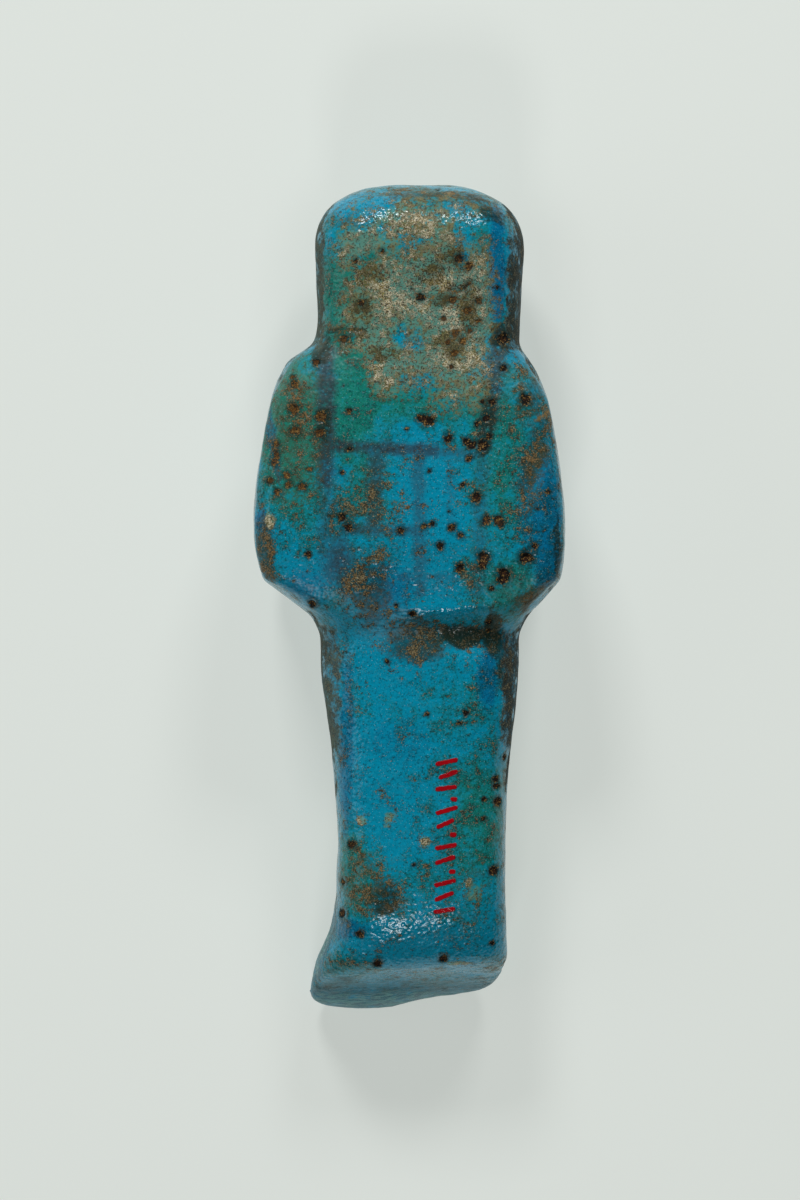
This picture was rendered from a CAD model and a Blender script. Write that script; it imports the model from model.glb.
import math

import bmesh
import bpy
import numpy as np
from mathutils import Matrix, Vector, noise


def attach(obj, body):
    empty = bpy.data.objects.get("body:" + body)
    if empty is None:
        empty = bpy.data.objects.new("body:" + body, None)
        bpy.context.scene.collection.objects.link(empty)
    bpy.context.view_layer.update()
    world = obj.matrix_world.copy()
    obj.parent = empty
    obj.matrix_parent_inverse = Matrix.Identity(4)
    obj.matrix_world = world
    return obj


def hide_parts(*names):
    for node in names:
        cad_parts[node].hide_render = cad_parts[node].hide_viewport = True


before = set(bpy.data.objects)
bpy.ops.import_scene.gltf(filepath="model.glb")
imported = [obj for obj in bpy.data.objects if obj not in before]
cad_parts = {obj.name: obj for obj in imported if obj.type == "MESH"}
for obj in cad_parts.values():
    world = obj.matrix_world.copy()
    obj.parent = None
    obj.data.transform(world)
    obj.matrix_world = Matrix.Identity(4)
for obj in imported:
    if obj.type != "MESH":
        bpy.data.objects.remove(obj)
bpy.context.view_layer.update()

MM = 0.001
NODE = "ushabti_figure"


# Camera

CAMERA_ACROSS = -1.21
CAMERA_UP = -0.45
CAMERA_HEIGHT = 900.0
VIEWED_LENGTH = 153.06  # how much of the surface the photograph's long side takes in
VIEWED_AT_HEIGHT = 13.0


def add_camera():
    data = bpy.data.cameras.new("camera")
    data.sensor_width = 36.0
    data.lens = data.sensor_width * (CAMERA_HEIGHT - VIEWED_AT_HEIGHT) / VIEWED_LENGTH
    data.clip_start = 0.01
    data.clip_end = 10.0
    camera = bpy.data.objects.new("camera", data)
    camera.location = Vector((CAMERA_ACROSS, CAMERA_UP, CAMERA_HEIGHT)) * MM
    bpy.context.collection.objects.link(camera)
    bpy.context.scene.camera = camera
    bpy.context.scene.view_settings.view_transform = "Standard"


# The figure's fine mesh

VOXEL = 0.36
# Rounds of smoothing for everything, then for all but the carved front, then for the heel
ALL_ROUNDS = 3
BODY_ROUNDS = 13
HEEL_ROUNDS = 24
FRONT_DEPTH = 8.0  # what lies below this height is the front
SHIN_LINE = -20.0  # above this line the front is carved
HEEL_LINE = -41.5


def fine_mesh():
    """The solid's surface as small even faces, its facets smoothed away."""
    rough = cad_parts[NODE].data.copy()
    bm = bmesh.new()
    bm.from_mesh(rough)
    bmesh.ops.remove_doubles(bm, verts=bm.verts, dist=1e-6)
    bm.to_mesh(rough)
    bm.free()
    form = bpy.data.objects.new("form", rough)
    bpy.context.collection.objects.link(form)
    remesh = form.modifiers.new("even", "REMESH")
    remesh.mode = "VOXEL"
    remesh.voxel_size = VOXEL * MM
    evaluated = form.evaluated_get(bpy.context.evaluated_depsgraph_get())
    mesh = bpy.data.meshes.new_from_object(evaluated)
    bpy.data.objects.remove(form)
    bm = bmesh.new()
    bm.from_mesh(mesh)
    body = [v for v in bm.verts if v.co.z > FRONT_DEPTH * MM or v.co.y < SHIN_LINE * MM]
    heel = [v for v in body if v.co.z > FRONT_DEPTH * MM and v.co.y < HEEL_LINE * MM]
    every_way = {"use_axis_x": True, "use_axis_y": True, "use_axis_z": True}
    for verts, rounds in ((bm.verts, ALL_ROUNDS), (body, BODY_ROUNDS), (heel, HEEL_ROUNDS)):
        for _ in range(rounds):
            bmesh.ops.smooth_vert(bm, verts=verts, factor=0.5, **every_way)
    bm.to_mesh(mesh)
    bm.free()
    mesh.materials.clear()
    return mesh


WAVER_SIZE = 1.4  # how long the wobbles of an uneven outline are


class Surface:
    """The figure's points in millimetres and their normals, to be shaped and painted."""

    def __init__(self, mesh):
        self.mesh = mesh
        self.at = self.read("co") / MM
        self.normal = self.read("normal")
        self.waver = self.field(WAVER_SIZE, 5.0)
        self.update_facing()

    def read(self, name):
        values = np.empty(len(self.mesh.vertices) * 3)
        self.mesh.vertices.foreach_get(name, values)
        return values.reshape(-1, 3)

    def update_facing(self):
        """How much each point belongs to the back, the sides or the front."""
        up = self.normal[:, 2]
        self.back = ease(up, 0.1, 0.5)
        self.front = ease(-up, 0.1, 0.5)
        self.side = 1 - np.maximum(ease(up, 0.15, 0.5), ease(-up, 0.2, 0.6))

    def field(self, size, seed):
        """Smooth noise between about -1 and 1, with lumps of a size."""
        shift = Vector((seed * 17.3, seed * 5.1, seed * 9.7))
        return np.array([noise.noise(Vector(p) / size + shift) for p in self.at])

    def push(self, amount):
        """Moves every point along its normal."""
        self.at += self.normal * amount[:, None]

    def settle(self):
        """Writes the points back, none of them under the surface that the figure lies on."""
        self.at[:, 2] = np.maximum(self.at[:, 2], 0)
        self.mesh.vertices.foreach_set("co", (self.at * MM).ravel())
        self.mesh.update()
        self.normal = self.read("normal")
        self.update_facing()

    def store(self, name, values):
        attribute = self.mesh.attributes.new(name, "FLOAT", "POINT")
        attribute.data.foreach_set("value", np.clip(values, 0, 1).astype(np.float32))

    def across_up(self, waver):
        """Places on the figure seen from above, shaken a little so that outlines come out uneven."""
        shaken = self.at[:, :2].copy()
        shaken[:, 0] += waver * self.waver
        shaken[:, 1] += waver * np.roll(self.waver, 1)
        return shaken


def ease(value, low, high):
    """0 below low, 1 above high and an eased rise between them."""
    share = np.clip((value - low) / (high - low), 0, 1)
    return share * share * (3 - 2 * share)


def patch(at, across, up, wide, tall, turn=0.0, strength=1.0, soft=0.5):
    """Its strength inside an ellipse, easing to 0 across the edge."""
    angle = math.radians(turn)
    x, y = at[:, 0] - across, at[:, 1] - up
    along = (x * math.cos(angle) + y * math.sin(angle)) / wide
    over = (y * math.cos(angle) - x * math.sin(angle)) / tall
    return strength * (1 - ease(np.hypot(along, over), 1 - soft, 1 + soft))


def patches(at, rows, soft=0.5):
    """Several patches together, each adding to what the others leave."""
    left = np.ones(len(at))
    for row in rows:
        left *= 1 - patch(at, *row, soft=soft)
    return 1 - left


def from_line(at, points):
    """The distance from a line through some points."""
    nearest = np.full(len(at), np.inf)
    for start, end in zip(points, points[1:]):
        start, step = np.array(start), np.subtract(end, start)
        share = np.clip((at - start) @ step / (step @ step), 0, 1)
        nearest = np.minimum(nearest, np.hypot(*(at - start - share[:, None] * step).T))
    return nearest


def marks(at, lines, inside, outside):
    """1 along some lines, easing to 0 between two distances from them."""
    return np.maximum.reduce([1 - ease(from_line(at, points), inside, outside) for points in lines])


def hump(far, half_width):
    """1 where far is 0, falling off smoothly on both sides."""
    return np.exp(-((far / half_width) ** 2))


def between(value, start, full, fading, end):
    """0 before the start and after the end, easing to 1 in between."""
    return ease(value, start, full) * (1 - ease(value, fading, end))


# Pits in the glaze: across, up and radius

PITS = [
    # between the straps
    (2.0, 22.2, 0.7), (1.3, 22.3, 0.6), (2.7, 22.0, 0.6), (4.8, 19.9, 0.63), (7.2, 19.5, 0.6),
    (7.8, 19.0, 0.6), (9.2, 19.0, 0.76), (7.5, 17.4, 0.44), (8.5, 21.6, 0.44), (8.4, 12.4, 0.69),
    (5.4, 8.7, 0.57), (6.4, 7.7, 0.5), (1.9, 8.8, 0.44), (2.8, 9.1, 0.38), (3.8, 6.3, 0.57),
    (6.3, 3.6, 0.57), (-7.7, 8.6, 0.63), (-8.5, 9.9, 0.6), (-1.7, -1.1, 0.38), (0.4, -2.2, 0.5),
    (-8.5, 15.5, 0.38), (-7.6, 18.5, 0.38), (-0.4, 21.0, 0.31), (-7.6, 23.4, 0.38), (2.5, 15.8, 0.31),
    (6.7, 14.1, 0.31), (5.0, 10.6, 0.28), (-1.1, 8.3, 0.5), (10.0, -3.2, 0.44), (10.0, -4.3, 0.38),
    # along and outside the right strap
    (10.4, 24.5, 0.5), (9.2, 24.5, 0.38), (9.7, 22.5, 0.57), (10.0, 20.2, 0.5), (14.5, 24.8, 0.75),
    (9.5, 9.5, 0.57), (11.1, 9.6, 0.63), (11.5, 9.0, 0.44), (9.3, 4.9, 0.8), (9.2, 4.0, 0.6),
    (11.8, 2.9, 0.8), (11.8, 2.1, 0.8), (14.7, 4.8, 0.88), (15.7, 6.3, 0.5), (10.3, 1.0, 0.38),
    (17.4, 13.1, 0.31), (16.1, 11.0, 0.3), (11.8, 28.8, 0.5),
    # outside the left strap
    (-12.8, 5.3, 0.44), (-12.2, -0.8, 0.6), (-14.5, 26.7, 0.63), (-14.5, 23.5, 0.76),
    (-14.4, 20.8, 0.63), (-16.7, 19.2, 0.44), (-16.8, 17.8, 0.5), (-17.0, 16.9, 0.5),
    (-15.4, 15.3, 0.5), (-17.6, 14.5, 0.44), (-16.7, 13.1, 0.5), (-13.4, 13.8, 0.6),
    (-15.1, 14.1, 0.44), (-11.1, 22.6, 0.76), (-11.3, 20.5, 0.69), (-12.5, 16.0, 0.38),
    (-11.8, 29.5, 0.57), (-14.7, 27.6, 0.4),
    # head
    (-6.8, 42.2, 0.38), (-6.1, 36.9, 0.44), (6.3, 42.5, 0.63), (7.4, 41.5, 0.5), (1.4, 37.6, 0.69),
    (5.5, 37.3, 0.57), (7.3, 36.0, 0.57), (8.7, 37.2, 0.57), (4.3, 35.0, 0.44), (5.8, 33.2, 0.57),
    (7.6, 33.5, 0.5), (6.7, 32.2, 0.5), (4.8, 31.9, 0.44), (5.7, 30.7, 0.57), (5.3, 28.9, 0.38),
    (-8.2, 32.5, 0.57), (11.8, 32.5, 0.85), (3.6, 51.4, 0.38), (11.1, 39.0, 0.31), (8.7, 34.8, 0.38),
    (-3.4, 43.5, 0.38), (0.2, 38.6, 0.31),
    # legs and foot
    (2.3, -14.9, 0.38), (7.0, -14.8, 0.44), (6.3, -16.0, 0.31), (-2.8, -8.2, 0.38), (12.0, -20.3, 0.38),
    (10.8, -23.1, 0.44), (10.9, -24.0, 0.44), (11.1, -26.0, 0.57), (9.4, -25.6, 0.31),
    (9.4, -28.0, 0.31), (-7.2, -31.4, 0.57), (-8.4, -36.2, 0.5), (-8.5, -40.2, 0.63),
    (0.6, -33.9, 0.31), (10.6, -34.7, 0.63), (-6.3, -42.7, 0.5), (-4.0, -46.5, 0.6),
    (4.3, -45.9, 0.57), (10.5, -44.0, 0.38),
]
PIT_DEPTH = 0.45  # as a share of the radius
RIM_RADIUS = 1.2  # where the raised rim runs, in radii
RIM_HALF_WIDTH = 0.4
RIM_HEIGHT = 0.07
HALO_REACH = 2.2  # how far the dark glaze round a pit reaches, in radii
# Lines cut into the glaze, and the wig's lower edge
GOUGE = [(5.1, 38.7), (6.0, 38.3), (6.7, 38.6), (7.5, 39.3)]
SCRATCHES = [[(2.2, 36.8), (3.3, 38.2), (4.1, 38.7)], [(16.1, 22.3), (18.3, 23.7)]]
WIG_HEM = [(-9.9, 33.4), (-8.1, 33.6), (-6.8, 33.6), (-5.4, 33.4)]


def pit_profile(at, pits):
    """How near each point is to a pit's middle, from 0 to 1, how deep it lies and how high it rises."""
    near, sink, rise = np.zeros(len(at)), np.zeros(len(at)), np.zeros(len(at))
    for across, up, radius in pits:
        far = np.hypot(at[:, 0] - across, at[:, 1] - up) / radius
        near = np.maximum(near, 1 - far / HALO_REACH)
        sink = np.maximum(sink, (1 - ease(far, 0.25, 1.05)) * radius * PIT_DEPTH)
        rise = np.maximum(rise, hump(far - RIM_RADIUS, RIM_HALF_WIDTH) * RIM_HEIGHT)
    return near, sink, rise


# The front, which the photograph hides, is plainer

FACE_ACROSS = 1.35  # the face's middle is a little to the right, as the wig's is
EYE_UP = 40.2
EYE_OUT = 3.1
FIST_OUT = 7.8
FIST_UP = 15.4
FOREARM_SLOPE = 0.48
FINGER_STEP = 1.45
FINGER_REACH = 2.3
# Painted lines of the right eye, about its middle: half width and points
EYE_LINES = [
    (0.24, [(-2.0, -0.2), (-0.9, 0.75), (0.9, 0.75), (2.0, -0.2)]),
    (0.18, [(-2.0, -0.2), (0.0, -0.85), (2.0, -0.2)]),
    (0.6, [(0.0, -0.05), (0.0, 0.05)]),
    (0.2, [(2.0, -0.2), (3.3, 0.1)]),
    (0.26, [(-2.2, 1.9), (0.0, 2.5), (2.2, 1.9)]),
]
# Painted lines of the hoe in the right fist, about its middle
HOE_LINES = [
    (0.3, [(0.0, 3.2), (0.7, 11.0)]),
    (0.45, [(0.7, 11.0), (-2.6, 8.6)]),
    (0.3, [(0.0, -3.6), (-0.2, -5.4)]),
]


def on_both_sides(lines, middle, out, up):
    """Lines about a place that lies out from the middle, and the same lines mirrored."""
    rows = []
    for half_width, points in lines:
        for side in (-1, 1):
            rows.append((half_width, 1.0, [(middle + side * (out + x), up + y) for x, y in points]))
    return rows


def finger_lines():
    """The grooves between the fingers of both fists."""
    rise = FINGER_REACH * FOREARM_SLOPE
    rows = []
    for side in (-1, 1):
        for step in (-1, 0, 1):
            up = FIST_UP + step * FINGER_STEP
            start = (side * FIST_OUT - FINGER_REACH, up - side * rise)
            end = (side * FIST_OUT + FINGER_REACH, up + side * rise)
            rows.append([start, end])
    return rows


FRONT_PITS = [
    (-4.5, 30.2, 0.5), (8.8, 37.9, 0.4), (-12.6, 19.4, 0.7), (-13.6, 17.9, 0.4), (3.4, 22.8, 0.5),
    (14.2, 10.8, 0.6), (-6.0, 3.2, 0.5), (5.8, -1.6, 0.7), (6.9, -2.4, 0.4), (-2.8, -9.6, 0.5),
    (7.7, -14.2, 0.4), (-4.6, -22.0, 0.7), (-3.6, -23.1, 0.4), (5.0, -29.8, 0.5), (0.2, -37.4, 0.5),
    (7.4, -44.0, 0.6), (-5.8, -47.2, 0.5),
]
FRONT_STAINS = [
    (-9.5, 24.0, 5.0, 3.4, 20, 0.6), (6.2, 44.8, 5.6, 2.4, -10, 0.5), (9.4, 2.6, 5.5, 4.0, 30, 0.6),
    (-3.0, -13.0, 4.6, 5.8, 0, 0.5), (5.4, -26.0, 3.4, 6.0, 10, 0.5), (-2.0, -44.6, 7.2, 3.4, 0, 0.6),
]
FRONT_GREEN = [
    (-4.0, 8.0, 12.0, 9.0, 0, 0.6), (3.0, -30.0, 9.0, 11.0, 0, 0.7), (1.0, 46.0, 11.0, 5.0, 0, 0.6),
]


# What the glaze shows on the back: across, up, half width, half height, turn and strength

CRUST = [
    (0.0, 42.1, 7.6, 5.0, 0, 0.6), (-1.8, 34.8, 6.3, 5.0, 0, 0.75), (5.7, 37.3, 4.8, 6.9, 0, 0.75),
    (0.0, 45.5, 3.8, 2.3, 0, 0.55), (5.8, 35.0, 3.6, 5.5, 0, 0.4), (-1.2, 27.9, 4.0, 2.8, 0, 0.6),
    (5.7, 27.9, 5.0, 4.4, 0, 0.5), (-2.2, 31.8, 2.0, 0.6, 0, 0.9), (0.6, 49.0, 9.0, 1.6, 0, 0.3),
    (-7.0, 44.6, 2.6, 2.4, 0, 0.35), (1.9, -31.0, 0.7, 0.9, 0, 0.6), (-6.0, -28.2, 0.8, 0.6, 0, 0.7),
    (-2.6, -28.0, 0.7, 0.7, 0, 0.7), (6.6, -46.6, 1.6, 0.5, 0, 0.8), (8.0, -37.0, 1.4, 1.6, 0, 0.4),
    (-17.6, 9.6, 0.6, 1.2, 0, 0.8),
]
CRUST_GAPS = [
    (-0.3, 44.6, 3.4, 2.0, 0, 0.6), (0.2, 32.6, 3.4, 2.0, 0, 0.6), (0.4, 26.8, 2.4, 2.6, 0, 0.55),
    (6.4, 43.6, 1.2, 2.6, 0, 0.6), (-4.9, 42.6, 1.0, 1.0, 0, 0.7),
]
STAINS = [
    # head and shoulders
    (3.8, 41.7, 4.0, 3.1, 0, 0.7), (-7.5, 37.3, 2.3, 8.8, 0, 0.3), (8.9, 49.9, 5.0, 1.5, -15, 0.6),
    (-15.1, 23.5, 3.1, 6.3, 0, 0.5), (15.2, 25.4, 2.3, 4.4, -30, 0.6),
    (15.8, 17.8, 1.5, 6.3, -18, 0.8), (1.5, 51.2, 5.5, 1.6, 0, 0.8), (-6.8, 46.0, 2.2, 3.6, -25, 0.5),
    (13.4, 19.5, 4.4, 9.0, 0, 0.12), (15.6, -0.4, 3.0, 1.6, 32, 0.9),
    # lower back and waist
    (-18.4, 4.6, 1.6, 5.7, 0, 0.9), (-5.0, 0.8, 2.8, 4.8, 0, 0.8), (-4.4, 12.1, 5.7, 5.0, 0, 0.4),
    (-8.1, 10.6, 1.8, 1.5, 0, 0.6), (7.0, -5.1, 2.8, 1.6, 0, 1), (10.6, -4.5, 1.3, 2.8, 0, 0.8),
    (0.8, -5.6, 4.0, 3.2, 0, 0.9),
    # lower legs
    (-6.0, -36.0, 3.0, 4.5, 0, 0.6), (-2.7, -38.2, 2.3, 2.5, 0, 0.7), (8.2, -36.3, 2.5, 6.3, 0, 0.4),
]
RUSTY = [
    # where the pits and stains are golden brown
    (-14.6, 20.5, 4.6, 11.0, 0, 0.9), (6.5, 35.0, 4.0, 8.0, 0, 0.5), (16.0, 15.5, 1.6, 6.0, -12, 0.9),
    (9.5, 8.0, 3.0, 4.0, 0, 0.4), (-5.0, -36.5, 4.5, 5.0, 0, 0.6), (6.9, 34.0, 1.8, 4.0, 0, 0.6),
    (8.5, 50.4, 4.2, 0.9, -15, 0.9), (15.5, -0.5, 2.4, 2.0, 30, 0.9),
    (-18.0, 3.5, 1.8, 5.0, 0, 0.7), (-7.8, 35.0, 2.0, 8.0, 0, 0.6),
]
SOOT = [
    # smooth dark olive stains
    (6.9, -5.0, 2.4, 1.5, -8, 0.95), (10.4, -4.6, 1.1, 3.2, 0, 0.9), (2.3, -4.6, 2.9, 2.9, 0, 0.35),
    (6.2, 38.6, 2.6, 1.2, 20, 0.3), (3.9, 37.4, 1.5, 1.0, 0, 0.6), (11.5, 32.8, 1.3, 1.6, 0, 0.9),
    (2.4, 40.2, 2.0, 1.8, 20, 0.3), (-4.6, 40.6, 2.0, 1.1, 0, 0.3), (-6.0, 35.8, 1.2, 2.8, 0, 0.5),
    (7.4, 35.6, 1.2, 2.6, 0, 0.4), (5.4, 31.6, 2.0, 1.8, 0, 0.35), (-3.6, 30.6, 1.8, 1.0, 0, 0.4),
    (5.4, 43.0, 1.8, 1.2, 0, 0.35), (4.4, 41.8, 2.4, 1.3, 20, 0.2), (16.2, -0.6, 2.4, 0.9, 35, 0.8),
    (18.6, 6.0, 0.5, 5.0, 0, 0.6), (10.4, 48.0, 2.2, 1.1, -30, 0.7), (8.8, 50.4, 2.6, 0.7, -15, 0.7),
    (-8.8, 33.0, 2.4, 0.8, 0, 0.5),
    (-11.2, 30.8, 1.4, 2.0, 0, 0.7), (-3.0, -38.6, 2.0, 2.0, 0, 0.6), (-9.0, 9.9, 2.0, 1.0, -15, 0.5),
    (11.9, -8.0, 0.9, 4.5, 0, 0.7), (9.7, 21.5, 1.2, 4.2, 0, 0.5), (-10.9, 21.5, 1.0, 2.6, 0, 0.6),
]
DEEP_BLUE = [
    (-13.2, 1.4, 2.8, 2.3, 0, 0.5), (9.9, -10.5, 1.4, 3.8, 0, 0.9), (17.6, 7.1, 1.5, 7.6, 0, 0.8),
    (11.0, 41.7, 1.1, 8.8, 0, 0.9), (-18.6, 9.4, 1.0, 1.3, 0, 1), (-1.2, -18.1, 5.0, 3.8, 0, 0.4),
    (16.2, 12.0, 3.0, 10.0, 0, 0.6), (-17.6, 21.0, 0.8, 8.0, 12, 0.7), (0.5, -43.6, 8.0, 1.6, 0, 0.2),
    (-3.7, 0.8, 5.0, 3.8, 0, 0.6), (-8.0, -18.1, 1.0, 13.9, 0, 0.6), (-8.1, -42.0, 2.5, 1.5, 0, 0.7),
]
CLEAR_GLAZE = [
    (-0.3, 44.6, 2.6, 1.7, 0, 1), (0.2, 32.6, 2.4, 1.7, 0, 1), (0.4, 27.4, 2.0, 2.0, 0, 0.8),
    (-13.4, 1.6, 2.8, 2.6, 0, 1), (6.4, 43.6, 1.2, 2.6, 0, 1), (11.0, 42.0, 1.1, 7.0, 0, 1),
    (3.8, 12.1, 6.3, 7.6, 0, 1), (-3.1, 49.3, 3.8, 1.5, 0, 0.8), (5.7, 48.0, 3.1, 1.8, 0, 0.8),
    (-6.9, 49.3, 3.1, 2.5, 0, 0.7), (2.6, 0.8, 5.0, 3.1, 0, 0.8), (-3.7, -8.0, 5.0, 6.3, 0, 1),
    (-3.7, -24.4, 5.0, 11.3, 0, 0.8), (7.6, -7.4, 2.5, 1.8, 0, 0.8), (13.7, 30.4, 1.8, 1.8, 0, 0.9),
    (1.0, -44.2, 8.5, 2.4, 0, 0.8),
]
GREEN_GLAZE = [
    (-0.6, 37.5, 9.6, 10.5, 0, 0.8), (-1.0, 24.6, 8.0, 3.4, 0, 0.5), (-4.0, 14.5, 3.5, 5.0, 0, 0.4),
    (-15.1, 21.0, 4.3, 10.1, 0, 1), (-7.5, 24.7, 3.1, 7.6, 0, 0.8), (-8.1, 34.8, 2.3, 7.6, 0, 0.8),
    (8.9, 14.7, 3.8, 10.1, 0, 0.4), (13.4, 18.0, 4.6, 10.0, 0, 0.45), (13.9, 0.8, 3.8, 3.8, 0, 0.6),
    (8.9, -28.2, 3.1, 11.3, 0, 0.4), (-6.9, -34.5, 3.1, 5.7, 0, 0.7),
]
GLOSSY = [
    (-6.0, 47.5, 3.6, 2.2, 15, 1), (-2.0, 48.6, 2.4, 1.6, 0, 0.8), (6.6, 47.0, 3.4, 2.0, -10, 1),
    (5.0, -1.5, 5.5, 0.8, 3, 0.9), (-3.4, -41.8, 4.4, 1.3, 0, 1), (4.4, -41.4, 4.0, 0.9, 0, 0.5),
    (4.8, -18.8, 1.4, 1.2, 0, 1), (17.2, 3.4, 1.2, 1.6, -20, 0.9), (11.2, 41.0, 0.9, 4.0, 0, 0.8),
    (14.2, 30.6, 1.6, 1.2, -40, 0.9), (-8.0, -17.0, 0.8, 2.4, 0, 0.7),
]
DULL = [
    (-12.8, 29.0, 4.5, 4.0, 0, 1), (12.8, 29.0, 4.5, 4.0, 0, 1), (-12.5, -0.8, 5.5, 3.4, 0, 0.4),
    (13.5, -0.6, 4.5, 3.2, 0, 0.8), (-5.0, -3.0, 5.5, 3.2, 0, 0.9),
]
INK = [(-8.7, 3.4, 2.3, 2.7, 0, 0.75), (-8.9, 5.8, 1.4, 2.6, 0, 0.6), (-4.6, 9.4, 1.4, 1.6, 0, 0.5)]

# The seed bag that is painted on the back, with its straps: half width, strength and points
BAG_LINES = [
    (1.0, 0.95, [(-10.6, 31.0), (-10.6, 22.2), (-10.5, 14.5)]),
    (1.0, 0.5, [(-10.5, 14.5), (-10.5, 10.0), (-10.3, 3.6)]),
    (0.95, 0.85, [(11.3, 31.7), (10.2, 24.7), (9.2, 18.4)]),
    (0.8, 0.4, [(9.2, 18.4), (8.8, 9.6), (8.5, 0.8)]),
    (0.7, 0.9, [(-9.5, 18.9), (-3.1, 18.6), (3.2, 18.3)]),
    (0.6, 0.55, [(3.2, 18.3), (9.1, 17.8)]),
    (0.6, 0.7, [(-8.1, 8.6), (-3.1, 8.4), (1.3, 8.2)]),
    (0.45, 0.4, [(-1.2, 2.4), (5.7, 2.4)]),
    (0.95, 0.75, [(-4.2, 17.8), (-4.4, 12.1), (-4.5, 8.4)]),
    (0.7, 0.55, [(1.1, 17.8), (1.2, 9.6), (1.3, 0.8)]),
    (0.45, 0.25, [(5.1, 17.8), (5.1, 8.4)]),
]


# Relief of a millimetre or less

# The unevenness of a piece that was pressed and trimmed by hand
SWELL_HEIGHT = 0.22
SWELL_SIZE = 11.0
DENT_HEIGHT = 0.09
DENT_SIZE = 3.4
RIPPLE_HEIGHT = 0.035
RIPPLE_SIZE = 1.1
# The ledge where the torso ends above the legs, and the hollow under it
LEDGE = [(-1.0, -1.3), (4.5, -1.7), (10.8, -1.0)]
LEDGE_HALF_WIDTH = 1.0
LEDGE_RISE = 0.3
HOLLOW = (8.0, -4.7, 5.5, 2.4)
HOLLOW_DEPTH = 0.55
# The foot's left side narrows at the ankle, and the toe's left corner reaches further out
ANKLE = (-9.9, -40.3, 3.5, 4.2)
ANKLE_DEPTH = 1.0
TOE_CORNER = (-5.5, -51.0, 6.0, 3.0)
TOE_REACH = 1.1
TORSO_SPAN = (-2.0, 2.0, 24.0, 30.0)  # where it begins, is full, fades and ends, going up
CORNER_REACH = 0.9  # how much crisper the torso's back edges are than the solid's
HEM_HALF_WIDTH = 0.32
HEM_DEPTH = 0.3
GOUGE_HALF_WIDTH = 0.3
GOUGE_DEPTH = 0.4
FINGER_HALF_WIDTH = 0.3
FINGER_DEPTH = 0.55
CRUST_HEIGHT = 0.07
CRUST_ROUGHNESS = 0.05
CRUST_GRAIN = 0.9
RELIEF_WAVER = 0.22  # how far outlines in the relief wander
PAINT_WAVER = 0.5  # and how far those of stains and painted lines do


def shape_form(surface):
    """The crisp back edges, the unevenness of a hand-made piece, the foot and the ledge."""
    torso = between(surface.at[:, 1], *TORSO_SPAN)
    corner = np.clip(2 * np.abs(surface.normal[:, 0]) * surface.normal[:, 2], 0, 1)
    surface.push(CORNER_REACH * torso * ease(corner, 0.25, 1.0))
    surface.settle()
    swells = SWELL_HEIGHT * surface.field(SWELL_SIZE, 1.0)
    surface.push(swells + DENT_HEIGHT * surface.field(DENT_SIZE, 2.0))
    outward = np.clip(-surface.normal[:, 0], 0, 1)
    surface.push(-ANKLE_DEPTH * outward * patch(surface.at[:, :2], *ANKLE, soft=0.8))
    toeward = np.clip(-surface.normal[:, 1], 0, 1) * (1 - ease(surface.at[:, 2], 3.0, 9.0))
    surface.push(TOE_REACH * toeward * patch(surface.at[:, :2], *TOE_CORNER, soft=0.7))
    surface.settle()
    place = surface.at[:, :2]
    ledge = hump(from_line(place, LEDGE), LEDGE_HALF_WIDTH) * LEDGE_RISE
    surface.push(surface.back * (ledge - patch(place, *HOLLOW, soft=0.6) * HOLLOW_DEPTH))
    surface.settle()


def shape_details(surface):
    """The hem, the gouge, crust and pits on the back, and fingers and pits on the front."""
    at = surface.across_up(RELIEF_WAVER)
    hem = hump(from_line(at, WIG_HEM), HEM_HALF_WIDTH) * HEM_DEPTH
    gouge = hump(from_line(at, GOUGE), GOUGE_HALF_WIDTH) * GOUGE_DEPTH
    _, sink, rise = pit_profile(at, PITS)
    crust = patches(at, CRUST) * (CRUST_HEIGHT + CRUST_ROUGHNESS * surface.field(CRUST_GRAIN, 3.0))
    surface.push(surface.back * (crust + rise - sink - hem - gouge))
    _, sink, rise = pit_profile(at, FRONT_PITS)
    for ends in finger_lines():
        groove = hump(from_line(surface.at[:, :2], ends), FINGER_HALF_WIDTH) * FINGER_DEPTH
        sink = np.maximum(sink, groove)
    surface.push(surface.front * (rise - sink))
    surface.push(RIPPLE_HEIGHT * surface.field(RIPPLE_SIZE, 4.0))
    surface.settle()


# Where each finish goes

# Stretches where the sides begin at a straight edge: from, to, left edge and right edge
SIDE_EDGES = [(31.0, 46.0, -10.7, 12.1), (-20.0, -4.0, -8.8, 11.7)]
EDGE_FADE = 2.0
SPARED = 0.65  # how much less the sides of the torso and of the lower legs are worn
SPARED_TORSO_SPAN = (-6.0, 3.0, 25.0, 34.0)
SPARED_LEGS_BELOW = (12.0, 34.0)  # under the middle, from the first of these to the second
FOOT_SIDE = (-10.5, -47.0, 3.5, 7.0)
BACK_FINISHES = [
    # name, patches and how soft their edges are
    ("deep", DEEP_BLUE, 0.6),
    ("clear", CLEAR_GLAZE, 0.7),
    ("soot", SOOT, 0.45),
    ("rusty", RUSTY, 0.6),
    ("glossy", GLOSSY, 0.7),
    ("dull", DULL, 0.6),
]


def sides(surface, at):
    """How much of the worn side each point shows."""
    across, up = at.T
    found = surface.side * (1 - SPARED * between(up, *SPARED_TORSO_SPAN))
    found *= 1 - SPARED * ease(-up, *SPARED_LEGS_BELOW)
    found *= ease(np.abs(surface.normal[:, 0]), 0.35, 0.8)
    for low, high, left, right in SIDE_EDGES:
        span = between(up, low - EDGE_FADE, low + EDGE_FADE, high - EDGE_FADE, high + EDGE_FADE)
        beyond = np.maximum(ease(left - across, -0.5, 0.5), ease(across - right, -0.5, 0.5))
        found = np.maximum(found, span * beyond)
    return found


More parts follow.
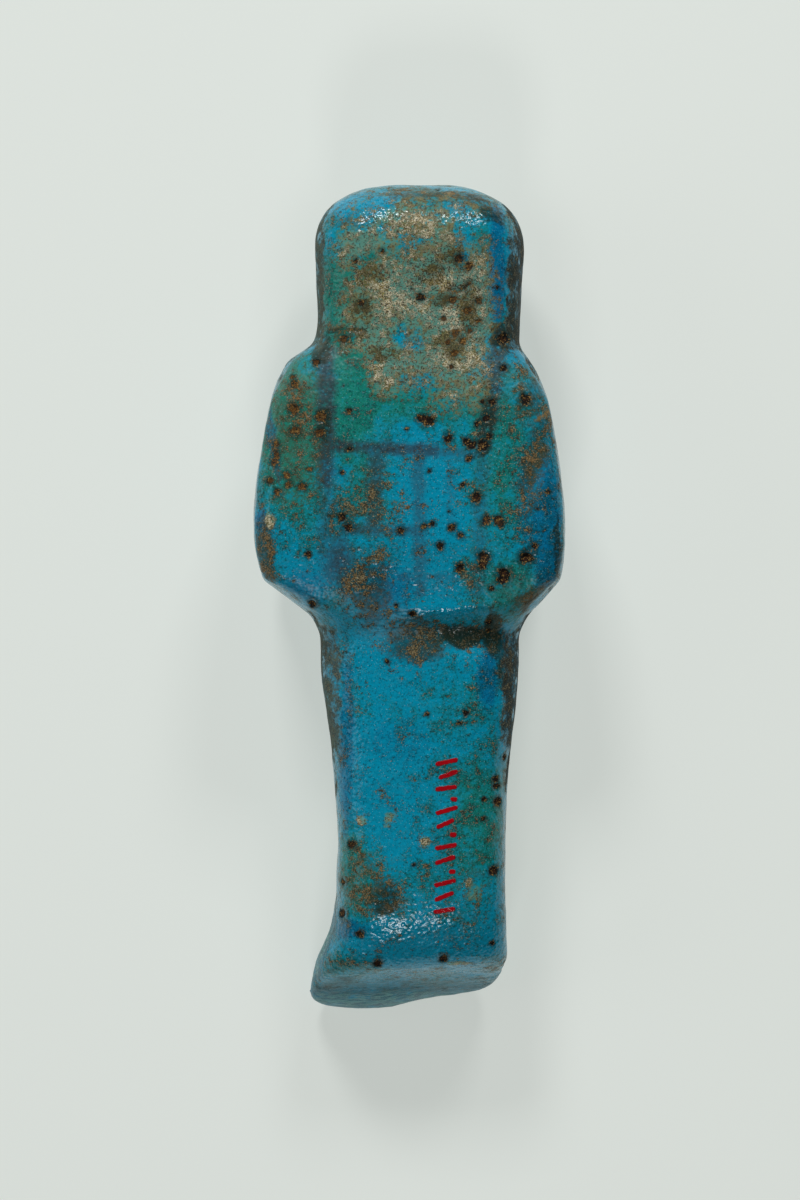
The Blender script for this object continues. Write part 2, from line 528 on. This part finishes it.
def strokes(at, rows, inside, outside):
    """Painted lines that are full and gone at two shares of their half width."""
    drawn = np.zeros(len(at))
    for half_width, strength, points in rows:
        band = 1 - ease(from_line(at, points), half_width * inside, half_width * outside)
        drawn = np.maximum(drawn, strength * band)
    return drawn


def paint_both_faces(surface, at, near):
    """Stores the finishes that the back and the front each have rows for."""
    back, front = surface.back, surface.front
    pit, _, _ = pit_profile(near, PITS)
    front_pit, _, _ = pit_profile(near, FRONT_PITS)
    gouge = 0.62 * marks(near, [GOUGE], 0.1, 0.6)
    hem = 0.6 * marks(near, [WIG_HEM], 0.05, 0.5)
    surface.store("pit", back * np.maximum.reduce([pit, gouge, hem]) + front * front_pit)
    surface.store("scratch", back * marks(near, SCRATCHES, 0.15, 0.45))
    bag = np.maximum(patches(at, INK, 0.6), strokes(at, BAG_LINES, 0.45, 1.7))
    eyes = on_both_sides(EYE_LINES, FACE_ACROSS, EYE_OUT, EYE_UP)
    hoes = on_both_sides(HOE_LINES, 0.0, FIST_OUT, FIST_UP)
    fingers = marks(near, finger_lines(), 0.1, 0.35)
    front_lines = np.maximum(strokes(near, eyes + hoes, 0.6, 1.5), fingers)
    surface.store("line", back * bag + front * front_lines)
    surface.store("crust", back * patches(at, CRUST, 0.6) * (1 - patches(at, CRUST_GAPS, 0.6)))
    surface.store("stain", back * patches(at, STAINS, 0.6) + front * patches(at, FRONT_STAINS, 0.8))
    surface.store("green", back * patches(at, GREEN_GLAZE, 0.7) + front * patches(at, FRONT_GREEN, 0.8))


def paint(surface):
    """Stores where each finish goes, for the material to read."""
    at = surface.across_up(PAINT_WAVER)
    paint_both_faces(surface, at, surface.across_up(RELIEF_WAVER))
    for name, rows, soft in BACK_FINISHES:
        surface.store(name, surface.back * patches(at, rows, soft))
    touching = surface.front * (1 - ease(surface.at[:, 2], 0.3, 1.6))
    surface.store("side", np.maximum(sides(surface, at), 0.9 * touching))
    surface.store("right", ease(surface.normal[:, 0], -0.2, 0.3))
    sole = ease(-surface.normal[:, 1], 0.25, 0.75) * ease(-at[:, 1], 47.5, 52.0)
    surface.store("foot", np.maximum(sole, surface.side * patch(at, *FOOT_SIDE)))


# Shader arithmetic


class Value:
    """An output in a material's node tree. Arithmetic on it adds the nodes that work it out."""

    tree = None

    def __init__(self, socket):
        self.socket = socket

    @classmethod
    def node(cls, kind, settings=None, inputs=None, output=0):
        """Adds a node, sets its settings first and then its sockets, and returns an output."""
        made = cls.tree.nodes.new(kind)
        for name, setting in (settings or {}).items():
            setattr(made, name, setting)
        for key, given in (inputs or {}).items():
            if isinstance(given, Value):
                cls.tree.links.new(given.socket, made.inputs[key])
            else:
                made.inputs[key].default_value = given
        return cls(made.outputs[output]) if made.outputs else None

    @classmethod
    def math(cls, operation, *operands):
        return cls.node("ShaderNodeMath", {"operation": operation}, dict(enumerate(operands)))

    def other(self, output):
        """Another output of the same node."""
        return Value(self.socket.node.outputs[output])

    def __add__(self, other):
        return self.math("ADD", self, other)

    def __sub__(self, other):
        return self.math("SUBTRACT", self, other)

    def __mul__(self, other):
        return self.math("MULTIPLY", self, other)

    def __rsub__(self, other):
        return self.math("SUBTRACT", other, self)

    __radd__ = __add__
    __rmul__ = __mul__


def smooth(value, low, high):
    """0 below low, 1 above high and an eased rise between them."""
    ends = {"Value": value, "From Min": low, "From Max": high}
    return Value.node("ShaderNodeMapRange", {"interpolation_type": "SMOOTHSTEP"}, ends)


def painted(name):
    """A finish's share as it is stored on the figure's points."""
    return Value.node("ShaderNodeAttribute", {"attribute_name": name}, output=2)


def grain(place, per_mm, detail, roughness=0.6):
    """Noise with about so many lumps to a millimetre."""
    inputs = {"Vector": place, "Scale": per_mm, "Detail": detail, "Roughness": roughness}
    return Value.node("ShaderNodeTexNoise", {}, inputs)


def either(first, second):
    """The larger of two masks."""
    return Value.math("MAXIMUM", first, second)


def blend(share, under, over):
    """One colour over another, by a share."""
    inputs = {0: share, 6: under, 7: over}
    return Value.node("ShaderNodeMix", {"data_type": "RGBA"}, inputs, 2)


def colour(text):
    """A screen colour such as 0a86ae as the linear colour that shaders use."""
    parts = [int(text[i : i + 2], 16) / 255 for i in (0, 2, 4)]
    linear = [p / 12.92 if p <= 0.04045 else ((p + 0.055) / 1.055) ** 2.4 for p in parts]
    return (*linear, 1.0)


def tint(under, share, text):
    """A screen colour laid over another colour, by a share."""
    return blend(share, under, colour(text))


def places():
    """Places on the piece in millimetres."""
    where = Value.node("ShaderNodeTexCoord", output=3)
    return Value.node("ShaderNodeVectorMath", {"operation": "SCALE"}, {0: where, "Scale": 1 / MM})


def stretched(place, across):
    """Places scaled from side to side, so that a noise there runs that way."""
    inputs = {0: place, 1: (across, 1.0, 1.0)}
    return Value.node("ShaderNodeVectorMath", {"operation": "MULTIPLY"}, inputs)


def new_material(name):
    material = bpy.data.materials.new(name)
    material.use_nodes = True
    material.node_tree.nodes.clear()
    Value.tree = material.node_tree
    return material


def finish_material(inputs):
    surface = Value.node("ShaderNodeBsdfPrincipled", {}, inputs)
    Value.node("ShaderNodeOutputMaterial", {}, {"Surface": surface})


# Short dabs of red paint in a row down the legs: across, up, length and turn
RED_STROKES = [
    (4.7, -20.9, 2.3, 12), (4.9, -22.5, 2.0, 20), (4.6, -24.2, 2.2, 8), (5.6, -25.6, 0.3, 0),
    (4.7, -27.0, 2.3, 16), (4.5, -28.7, 1.9, 25), (5.5, -30.1, 0.3, 0), (4.6, -31.6, 2.2, 10),
    (4.5, -33.3, 2.1, 18), (5.4, -34.8, 0.3, 0), (4.5, -36.2, 2.3, 14), (4.4, -37.9, 2.0, 22),
    (4.4, -39.7, 2.2, 9),
]
STROKE_EDGE = (0.22, 0.34)  # how far from its middle line a stroke is full, and gone
STROKE_WAVER = 0.35
BACK_HEIGHT = (15.0, 17.0)  # the paint fades in between these heights, so the front has none


def red_strokes(place, shake):
    """1 on the paint, 0 elsewhere."""
    nearest = None
    for across, up, length, turn in RED_STROKES:
        inputs = {"Vector": place, "Location": (across, up, 0), "Rotation": (0, 0, math.radians(turn))}
        local = Value.node("ShaderNodeMapping", {"vector_type": "TEXTURE"}, inputs)
        parts = Value.node("ShaderNodeSeparateXYZ", {}, {0: local})
        over = parts.other(1)
        beyond = either(Value.math("ABSOLUTE", parts) - length / 2, 0.0)
        far = Value.math("SQRT", beyond * beyond + over * over)
        nearest = far if nearest is None else Value.math("MINIMUM", nearest, far)
    on_back = smooth(Value.node("ShaderNodeSeparateXYZ", {}, {0: place}, 2), *BACK_HEIGHT)
    edge = nearest + (shake - 0.5) * STROKE_WAVER
    return (1 - smooth(edge, *STROKE_EDGE)) * on_back


# The faience, layer by layer. Each layer returns its colour, and the masks that later ones need

NOISES = {
    # lumps to a millimetre, detail and roughness
    "fine": (4.6, 2.0, 0.7),
    "fleck": (2.1, 3.0, 0.7),
    "speck": (5.6, 2.0, 0.6),
    "blotch": (0.9, 5.0, 0.7),
    "mottle": (0.33, 5.0, 0.65),
    "cloud": (0.5, 4.0, 0.65),
    "drift": (0.09, 3.0, 0.5),
}
PAINTED = [
    "pit", "scratch", "line", "crust", "stain", "green", "deep", "clear",
    "soot", "rusty", "glossy", "dull", "side", "right", "foot",
]
GLAZE_ROUGHNESS = 0.22
GLAZE_SHEEN = 0.32  # less than a new glaze's 0.5, so that low sides don't mirror the pale floor
PAINT_ROUGHNESS = 0.15
TRIM_STRETCH = 0.22
BUMP_HEIGHT = 0.2


class Skin:
    """Places on the figure, with the noises and painted values that the layers read there."""

    def __init__(self):
        self.place = places()
        for name, settings in NOISES.items():
            setattr(self, name, grain(self.place, *settings))
        for name in PAINTED:
            setattr(self, name, painted(name))


def glazed(skin):
    """The glaze itself, from green where it is thin to deep blue where it pooled."""
    fine, fleck, blotch, mottle = skin.fine, skin.fleck, skin.blotch, skin.mottle
    hue = skin.drift * 0.5 + mottle * 0.9 + blotch * 0.6 + (fleck - 0.5) * 0.45 + (fine - 0.5) * 0.3
    greenish = smooth(skin.green * 0.4 - skin.clear * 0.25 + hue, 0.82, 1.3)
    glaze = blend(greenish, colour("0096b8"), colour("1b8674"))
    pooled = smooth(skin.deep * 0.7 + blotch * 0.5 + fleck * 0.3, 0.52, 0.95)
    glaze = tint(glaze, pooled * 0.75, "006596")
    thick = blotch * 0.6 + mottle * 0.8 + fleck * 0.3 - skin.clear * 0.12 + skin.deep * 0.05
    shade = smooth(thick, 0.74, 1.06)
    glaze = tint(glaze, shade * 0.7, "06464d")
    glaze = tint(glaze, smooth(fleck * 0.5 + fine * 0.8 + shade * 0.06, 0.65, 0.85) * 0.65, "04262f")
    glaze = tint(glaze, smooth(skin.speck * 0.7 + blotch * 0.4, 0.56, 0.68) * 0.35, "36a9bd")
    inked = skin.line * smooth(fleck * 0.6 + blotch * 0.5, 0.26, 0.56)
    return tint(glaze, inked * 0.85, "363a46"), greenish


def stained(skin, under, greenish):
    """Brown and olive stains, as a tint and as tan and umber specks."""
    fine, fleck, blotch, rusty = skin.fine, skin.fleck, skin.blotch, skin.rusty
    murk = blend(smooth(blotch, 0.42, 0.58), colour("1f3a2f"), colour("3d3a20"))
    soaked = smooth(skin.stain * 0.6 + blotch * 0.7 + fleck * 0.2, 0.58, 0.98)
    stains = blend(soaked * 0.8, under, murk)
    olive = smooth(rusty * 0.3 + blotch * 0.5 + fleck * 0.5 + (fine - 0.5) * 0.3, 0.62, 0.82)
    stains = tint(stains, olive * smooth(rusty, 0.0, 0.5) * 0.35, "5e5d34")
    crowd = skin.stain * 0.14 + greenish * 0.015 + (skin.mottle - 0.5) * 0.8 + (blotch - 0.5) * 0.7
    crowd = crowd - skin.clear * 0.02
    tan = smooth(skin.speck + crowd + rusty * 0.01, 0.68, 0.74)
    umber = smooth(fleck * 0.6 + fine * 0.4 + crowd, 0.64, 0.72)
    stains = tint(stains, umber * 0.8, "2b2917")
    sooty = smooth(skin.soot + (blotch - 0.5) * 1.2 + (fleck - 0.5) * 0.4, 0.25, 0.7)
    stains = tint(stains, sooty * 0.8, "1c2a19")
    tan_colour = blend(smooth(fine, 0.42, 0.62), colour("5f5334"), colour("a8966c"))
    tan_colour = tint(tan_colour, either(rusty, smooth(fleck, 0.5, 0.6)) * 0.6, "94662c")
    stains = blend(tan * (0.8 - sooty * 0.5), stains, tan_colour)
    sparkle = smooth(grain(skin.place, 6.5, 0.0), 0.76, 0.82)
    return tint(stains, sparkle * 0.45, "a9d2d2"), tan, umber


def crusted_over(skin, under):
    """Pale lime crust in flecks, with dust and the glaze showing between them."""
    fine, fleck, speck, blotch, cloud = skin.fine, skin.fleck, skin.speck, skin.blotch, skin.cloud
    crust, soot = skin.crust, skin.soot
    patchy = smooth(cloud + (fleck - 0.5) * 0.3 + soot * 0.1, 0.48, 0.62)
    ochre = smooth(blotch * 0.8 + fleck * 0.4 + skin.drift * 0.3, 0.7, 0.85)
    dust_colour = blend(patchy, colour("639888"), colour("6c6638"))
    dust_colour = tint(dust_colour, ochre * 0.8, "86743f")
    dust = crust + (blotch - 0.5) * 1.0 + (skin.mottle - 0.5) * 1.2 + (fleck - 0.5) * 0.8
    dusty = smooth(dust, 0.1, 0.5) * smooth(crust, 0.0, 0.2)
    covered = blend(dusty * 0.9, under, dust_colour)
    cover = crust * 0.36 + (cloud - 0.5) * 0.9 + (blotch - 0.5) * 0.6
    cover = cover + (fleck - 0.5) * 0.6 + (speck - 0.5) * 1.4
    crusted = smooth(cover, 0.16, 0.28) * smooth(crust, 0.02, 0.15)
    crust_colour = blend(patchy, colour("95b5a2"), colour("978a52"))
    crust_colour = tint(crust_colour, ochre * 0.7, "9a8048")
    pale = smooth(fine * 0.7 + blotch * 0.4 + skin.mottle * 0.1 - soot * 0.15, 0.56, 0.65)
    crust_colour = tint(crust_colour, pale * 0.95, "eae3c4")
    dark_grain = smooth(fleck * 0.4 + speck * 0.8 + soot * 0.15, 0.61, 0.7)
    crust_colour = tint(crust_colour, dark_grain * 0.95, "14170c")
    covered = blend(crusted * 0.9, covered, crust_colour)
    smudge = smooth(soot * 0.5 + blotch * 0.5 + cloud * 0.6 + (fine - 0.5) * 0.3, 0.66, 0.82)
    return tint(covered, smudge * smooth(crust, 0.1, 0.5) * 0.5, "504c2a"), crusted


def worn_down(skin, under):
    """Sides where the glaze is thin and worn down to the body."""
    side, blotch, mottle = skin.side, skin.blotch, skin.mottle
    ragged = side * 0.7 + (mottle - 0.5) * 2.0 + (blotch - 0.5) * 1.2 + (skin.fleck - 0.5) * 0.6
    worn = smooth(ragged, 0.2, 0.7) * smooth(side, 0.0, 0.5)
    body = blend(skin.right, colour("565e4e"), colour("28271a"))
    dark_body = blend(skin.right, colour("202b36"), colour("2b231d"))
    body = blend(smooth(blotch, 0.42, 0.58) * 0.7, body, dark_body)
    body = tint(body, smooth(skin.speck * 0.6 + blotch * 0.5, 0.57, 0.66) * 0.8, "80795a")
    return blend(worn * 0.9, under, body), worn


def soled(skin, under):
    """The sole, which has a thin glaze scored by the trimming."""
    scored = grain(stretched(skin.place, TRIM_STRETCH), 2.6, 3.0, 0.65)
    scuffed = smooth(scored * 0.6 + skin.fine * 0.3 + skin.mottle * 0.1, 0.42, 0.6)
    scuffed = scuffed * smooth(skin.foot, 0.75, 1.0)
    thin = blend(scuffed, colour("075a6c"), colour("70aeab"))
    bare = skin.foot * smooth(skin.mottle * 0.6 + skin.blotch * 0.6, 0.4, 0.6)
    return blend(bare * 0.85, under, thin), scored


def pitted(skin, under):
    """Pits with a dark halo and edge, a rusty middle and a few sandy grains."""
    fleck, blotch, rusty = skin.fleck, skin.blotch, skin.rusty
    ragged = ((fleck - 0.5) * 0.45 + (blotch - 0.5) * 0.5) * smooth(skin.pit, 0.02, 0.25)
    hole = skin.pit + ragged
    pits = tint(under, smooth(hole, 0.1, 0.6) * (0.75 - skin.crust * 0.35), "12302a")
    pits = tint(pits, smooth(hole, 0.53, 0.66) * (1 - rusty * 0.3), "0a0805")
    middle = blend(rusty * 0.8, colour("42230f"), colour("7d5520"))
    browned = smooth(hole + rusty * 0.2, 0.72, 0.86) * smooth(skin.fine, 0.42, 0.54)
    pits = blend(browned * 0.85, pits, middle)
    sandy = smooth(hole + rusty * 0.1, 0.42, 0.55) * smooth(fleck * 0.5 + skin.speck * 0.6, 0.6, 0.65)
    scratched = skin.scratch * smooth(fleck, 0.44, 0.54)
    return tint(pits, either(sandy, scratched * 0.8) * 0.8, "9c7a42"), hole


def faience_material():
    """Copper glaze over a sandy body: mottled, flecked, pitted, crusted and painted."""
    material = new_material("faience")
    skin = Skin()
    glaze, greenish = glazed(skin)
    stains, tan, umber = stained(skin, glaze, greenish)
    covered, crusted = crusted_over(skin, stains)
    worn_glaze, worn = worn_down(skin, covered)
    sole, scored = soled(skin, worn_glaze)
    pits, hole = pitted(skin, sole)
    red = red_strokes(skin.place, skin.fleck)

    matt = either(either(crusted, tan), umber)
    dull = GLAZE_ROUGHNESS - skin.glossy * 0.07 + skin.dull * 0.3 + matt * 0.3 + skin.foot * 0.15
    rough = either(dull, either(worn * 0.9, smooth(hole, 0.45, 0.6) * 0.95))
    ripple = grain(skin.place, 0.9, 1.0, 0.5) + grain(skin.place, 2.4, 0.0) * 0.5
    height = ripple * 0.7 + crusted * 0.3 + tan * 0.1 + red * 0.8 + skin.foot * scored * 1.5
    relief = {"Height": height, "Strength": 1.0, "Distance": BUMP_HEIGHT * MM}
    finish_material(
        {
            "Base Color": tint(pits, red, "b00a16"),
            "Roughness": either(rough * (1 - red), red * PAINT_ROUGHNESS),
            "Normal": Value.node("ShaderNodeBump", {}, relief),
            "Specular IOR Level": GLAZE_SHEEN,
        }
    )
    return material


def add_figure():
    mesh = fine_mesh()
    surface = Surface(mesh)
    shape_form(surface)
    shape_details(surface)
    paint(surface)
    mesh.shade_smooth()
    mesh.materials.append(faience_material())
    figure = bpy.data.objects.new("faience_figure", mesh)
    bpy.context.collection.objects.link(figure)
    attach(figure, "root")
    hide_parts(NODE)


# Floor and light

FLOOR_HALF_WIDTH = 900.0
FLOOR_COLOUR = (0.37, 0.388, 0.37, 1.0)
FLOOR_GLOW = (0.435, 0.463, 0.437, 1.0)  # the lit table under the figure keeps its shadows faint
LIGHTS = [
    # name, place, size across and up, watts
    ("crown end, left", (-200, 740, 590), (200, 200), 4.2),
    ("crown end, right", (240, 720, 580), (200, 200), 2.6),
    ("foot end", (-60, -640, 690), (200, 150), 1.8),
    ("left", (-800, 60, 500), (500, 400), 0.8),
]
SKY = (0.78, 0.82, 0.80, 1.0)
SKY_STRENGTH = 0.04


def add_floor():
    bm = bmesh.new()
    bmesh.ops.create_grid(bm, x_segments=1, y_segments=1, size=FLOOR_HALF_WIDTH * MM)
    mesh = bpy.data.meshes.new("floor")
    bm.to_mesh(mesh)
    bm.free()
    floor = bpy.data.objects.new("floor", mesh)
    bpy.context.collection.objects.link(floor)
    material = new_material("pale floor")
    looks = {"Base Color": FLOOR_COLOUR, "Roughness": 0.8}
    finish_material({**looks, "Emission Color": FLOOR_GLOW, "Emission Strength": 1.0})
    mesh.materials.append(material)


def add_lights():
    for name, place, (wide, tall), watts in LIGHTS:
        data = bpy.data.lights.new(name, "AREA")
        data.shape = "RECTANGLE"
        data.size = wide * MM
        data.size_y = tall * MM
        data.energy = watts
        light = bpy.data.objects.new(name, data)
        light.location = Vector(place) * MM
        light.rotation_euler = (-Vector(place)).to_track_quat("-Z", "Y").to_euler()
        bpy.context.collection.objects.link(light)
    world = bpy.data.worlds.new("studio")
    world.use_nodes = True
    background = world.node_tree.nodes["Background"]
    background.inputs["Color"].default_value = SKY
    background.inputs["Strength"].default_value = SKY_STRENGTH
    bpy.context.scene.world = world


add_camera()
add_figure()
add_floor()
add_lights()
